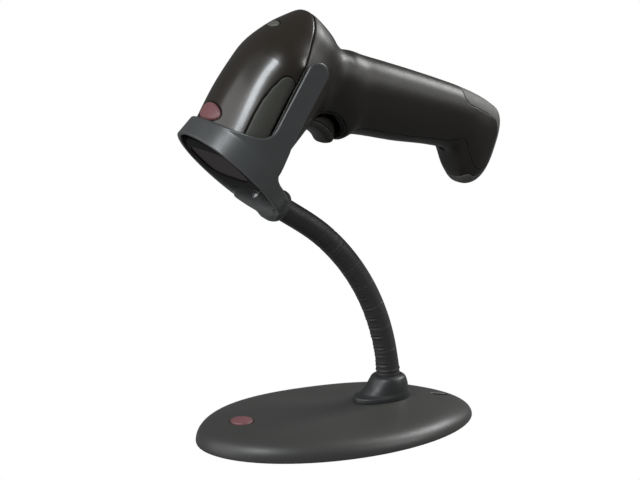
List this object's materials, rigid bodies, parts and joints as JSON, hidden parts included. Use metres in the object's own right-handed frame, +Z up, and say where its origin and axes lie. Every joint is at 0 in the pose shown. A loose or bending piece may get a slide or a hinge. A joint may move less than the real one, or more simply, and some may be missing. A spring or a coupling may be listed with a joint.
{
  "type": "barcode scanner with gooseneck stand",
  "caption": "Pistol-grip barcode scanner lying nose-down in the ring cradle of a bendable gooseneck stand on a low oval base.",
  "frame": {"origin": "centre of the stand's underside, on the desk", "axes": "+Z up, +X from the scanner's nose towards the rear of the stand, +Y across the symmetric shape"},
  "size_m": [0.1753, 0.097, 0.2086],
  "materials": {
    "cover_plastic": "satin, fine grain",
    "ballast_steel": "rough",
    "pad_rubber": "matte",
    "screw_steel": "satin",
    "badge_resin": "gloss",
    "neck_steel": "satin",
    "sleeve_rubber": "matte",
    "cradle_plastic": "satin",
    "head_plastic": "gloss",
    "grip_plastic": "satin",
    "cap_rubber": "matte",
    "pad_plastic": "matte",
    "bezel_plastic": "satin",
    "window_plastic": "gloss",
    "light_plastic": "translucent",
    "trigger_plastic": "satin",
    "pin_steel": "polished",
    "spring_steel": "satin",
    "switch_plastic": "satin",
    "plunger_plastic": "satin",
    "board_laminate": "satin",
    "jack_plastic": "satin",
    "beeper_plastic": "matte",
    "chassis_metal": "satin",
    "laser_brass": "satin",
    "lens_glass": "gloss",
    "mirror_glass": "polished",
    "coil_wire": "gloss",
    "sensor_plastic": "gloss",
    "wire_plastic": "gloss"
  },
  "bodies": {
    "stand_base": {"base_cover": "cover_plastic", "base_ballast": "ballast_steel", "base_pad": "pad_rubber", "base_screws": "screw_steel", "base_badge": "badge_resin", "neck_boot": "cover_plastic", "neck_nut": "screw_steel", "neck_core_0": "neck_steel", "neck_sleeve_0": "sleeve_rubber"},
    "neck_link_1": {"neck_core_1": "neck_steel", "neck_sleeve_1": "sleeve_rubber"},
    "neck_link_2": {"neck_core_2": "neck_steel", "neck_sleeve_2": "sleeve_rubber"},
    "neck_link_3": {"neck_core_3": "neck_steel", "neck_sleeve_3": "sleeve_rubber"},
    "neck_link_4": {"neck_core_4": "neck_steel", "neck_sleeve_4": "sleeve_rubber"},
    "neck_link_5": {"neck_core_5": "neck_steel", "neck_sleeve_5": "sleeve_rubber"},
    "neck_link_6": {"neck_core_6": "neck_steel", "neck_sleeve_6": "sleeve_rubber"},
    "neck_link_7": {"neck_core_7": "neck_steel", "neck_sleeve_7": "sleeve_rubber"},
    "cradle": {"neck_core_8": "neck_steel", "neck_sleeve_8": "sleeve_rubber", "cradle": "cradle_plastic", "cradle_screw": "screw_steel"},
    "scanner": {"head_cover": "head_plastic", "rear_shell": "grip_plastic", "front_shell": "grip_plastic", "end_cap": "cap_rubber", "side_pad_left": "pad_plastic", "side_pad_right": "pad_plastic", "nose_bezel": "bezel_plastic", "scan_window": "window_plastic", "scanner_badge": "badge_resin", "status_light": "light_plastic", "trigger_pin": "pin_steel", "trigger_spring": "spring_steel", "switch_body": "switch_plastic", "main_board": "board_laminate", "cable_jack": "jack_plastic", "beeper": "beeper_plastic", "housing_screws": "screw_steel", "engine_chassis": "chassis_metal", "engine_board": "board_laminate", "laser_module": "laser_brass", "focus_lens": "lens_glass", "mirror_coil": "coil_wire", "photodetector": "sensor_plastic", "wire_harness": "wire_plastic"},
    "trigger": {"trigger": "trigger_plastic"},
    "switch_plunger": {"switch_plunger": "plunger_plastic"},
    "scan_mirror": {"scan_mirror": "mirror_glass"}
  },
  "joints": [
    {"name": "neck_bend", "type": "hinge", "parent": "stand_base", "child": "neck_link_1", "pos_m": [0.02885, 0, 0.03098], "axis": [0, 1, 0], "range_deg": [-7, 14]},
    {"name": "neck_sway", "type": "hinge", "parent": "neck_link_1", "child": "neck_link_2", "pos_m": [0.02633, 0, 0.04336], "axis": [0.967, 0, 0.2546], "range_deg": [-8, 8]},
    {"name": "neck_bend_3", "type": "hinge", "parent": "neck_link_2", "child": "neck_link_3", "pos_m": [0.02243, 0, 0.05538], "axis": [0, 1, 0], "range_deg": [-7, 14]},
    {"name": "neck_sway_4", "type": "hinge", "parent": "neck_link_3", "child": "neck_link_4", "pos_m": [0.01719, 0, 0.06687], "axis": [0.885, 0, 0.4656], "range_deg": [-8, 8]},
    {"name": "neck_bend_5", "type": "hinge", "parent": "neck_link_4", "child": "neck_link_5", "pos_m": [0.01068, 0, 0.0777], "axis": [0, 1, 0], "range_deg": [-7, 14]},
    {"name": "neck_sway_6", "type": "hinge", "parent": "neck_link_5", "child": "neck_link_6", "pos_m": [0.00299, 0, 0.08772], "axis": [0.7576, 0, 0.6528], "range_deg": [-8, 8]},
    {"name": "neck_bend_7", "type": "hinge", "parent": "neck_link_6", "child": "neck_link_7", "pos_m": [-0.00578, 0, 0.0968], "axis": [0, 1, 0], "range_deg": [-7, 14]},
    {"name": "neck_sway_8", "type": "hinge", "parent": "neck_link_7", "child": "cradle", "pos_m": [-0.01553, 0, 0.10484], "axis": [0.5913, 0, 0.8064], "range_deg": [-8, 8]},
    {"name": "scanner_lift", "type": "slide", "parent": "cradle", "child": "scanner", "axis": [0.7071, 0, 0.7071], "range_m": [0, 0.1]},
    {"name": "trigger_pull", "type": "hinge", "parent": "scanner", "child": "trigger", "pos_m": [-0.02199, 0, 0.16113], "axis": [0, -1, 0], "range_deg": [0, 6.5], "stiffness_Nm_per_rad": 0.8, "springref_deg": -8.59, "deforming": ["trigger_spring"]},
    {"name": "switch_press", "type": "slide", "parent": "scanner", "child": "switch_plunger", "axis": [0.3502, 0, 0.9367], "range_m": [0, 0.0017]},
    {"name": "mirror_scan", "type": "hinge", "parent": "scanner", "child": "scan_mirror", "pos_m": [-0.03837, 0, 0.15363], "axis": [-0.7071, 0, 0.7071], "range_deg": [-10, 10]}
  ],
  "couplings": [
    {"joint": "neck_bend_3", "follows": "neck_bend", "ratio": 1},
    {"joint": "neck_sway_4", "follows": "neck_sway", "ratio": 1},
    {"joint": "neck_bend_5", "follows": "neck_bend", "ratio": 1},
    {"joint": "neck_sway_6", "follows": "neck_sway", "ratio": 1},
    {"joint": "neck_bend_7", "follows": "neck_bend", "ratio": 1},
    {"joint": "neck_sway_8", "follows": "neck_sway", "ratio": 1},
    {"joint": "switch_press", "follows": "trigger_pull", "m_per_rad": 0.014}
  ]
}
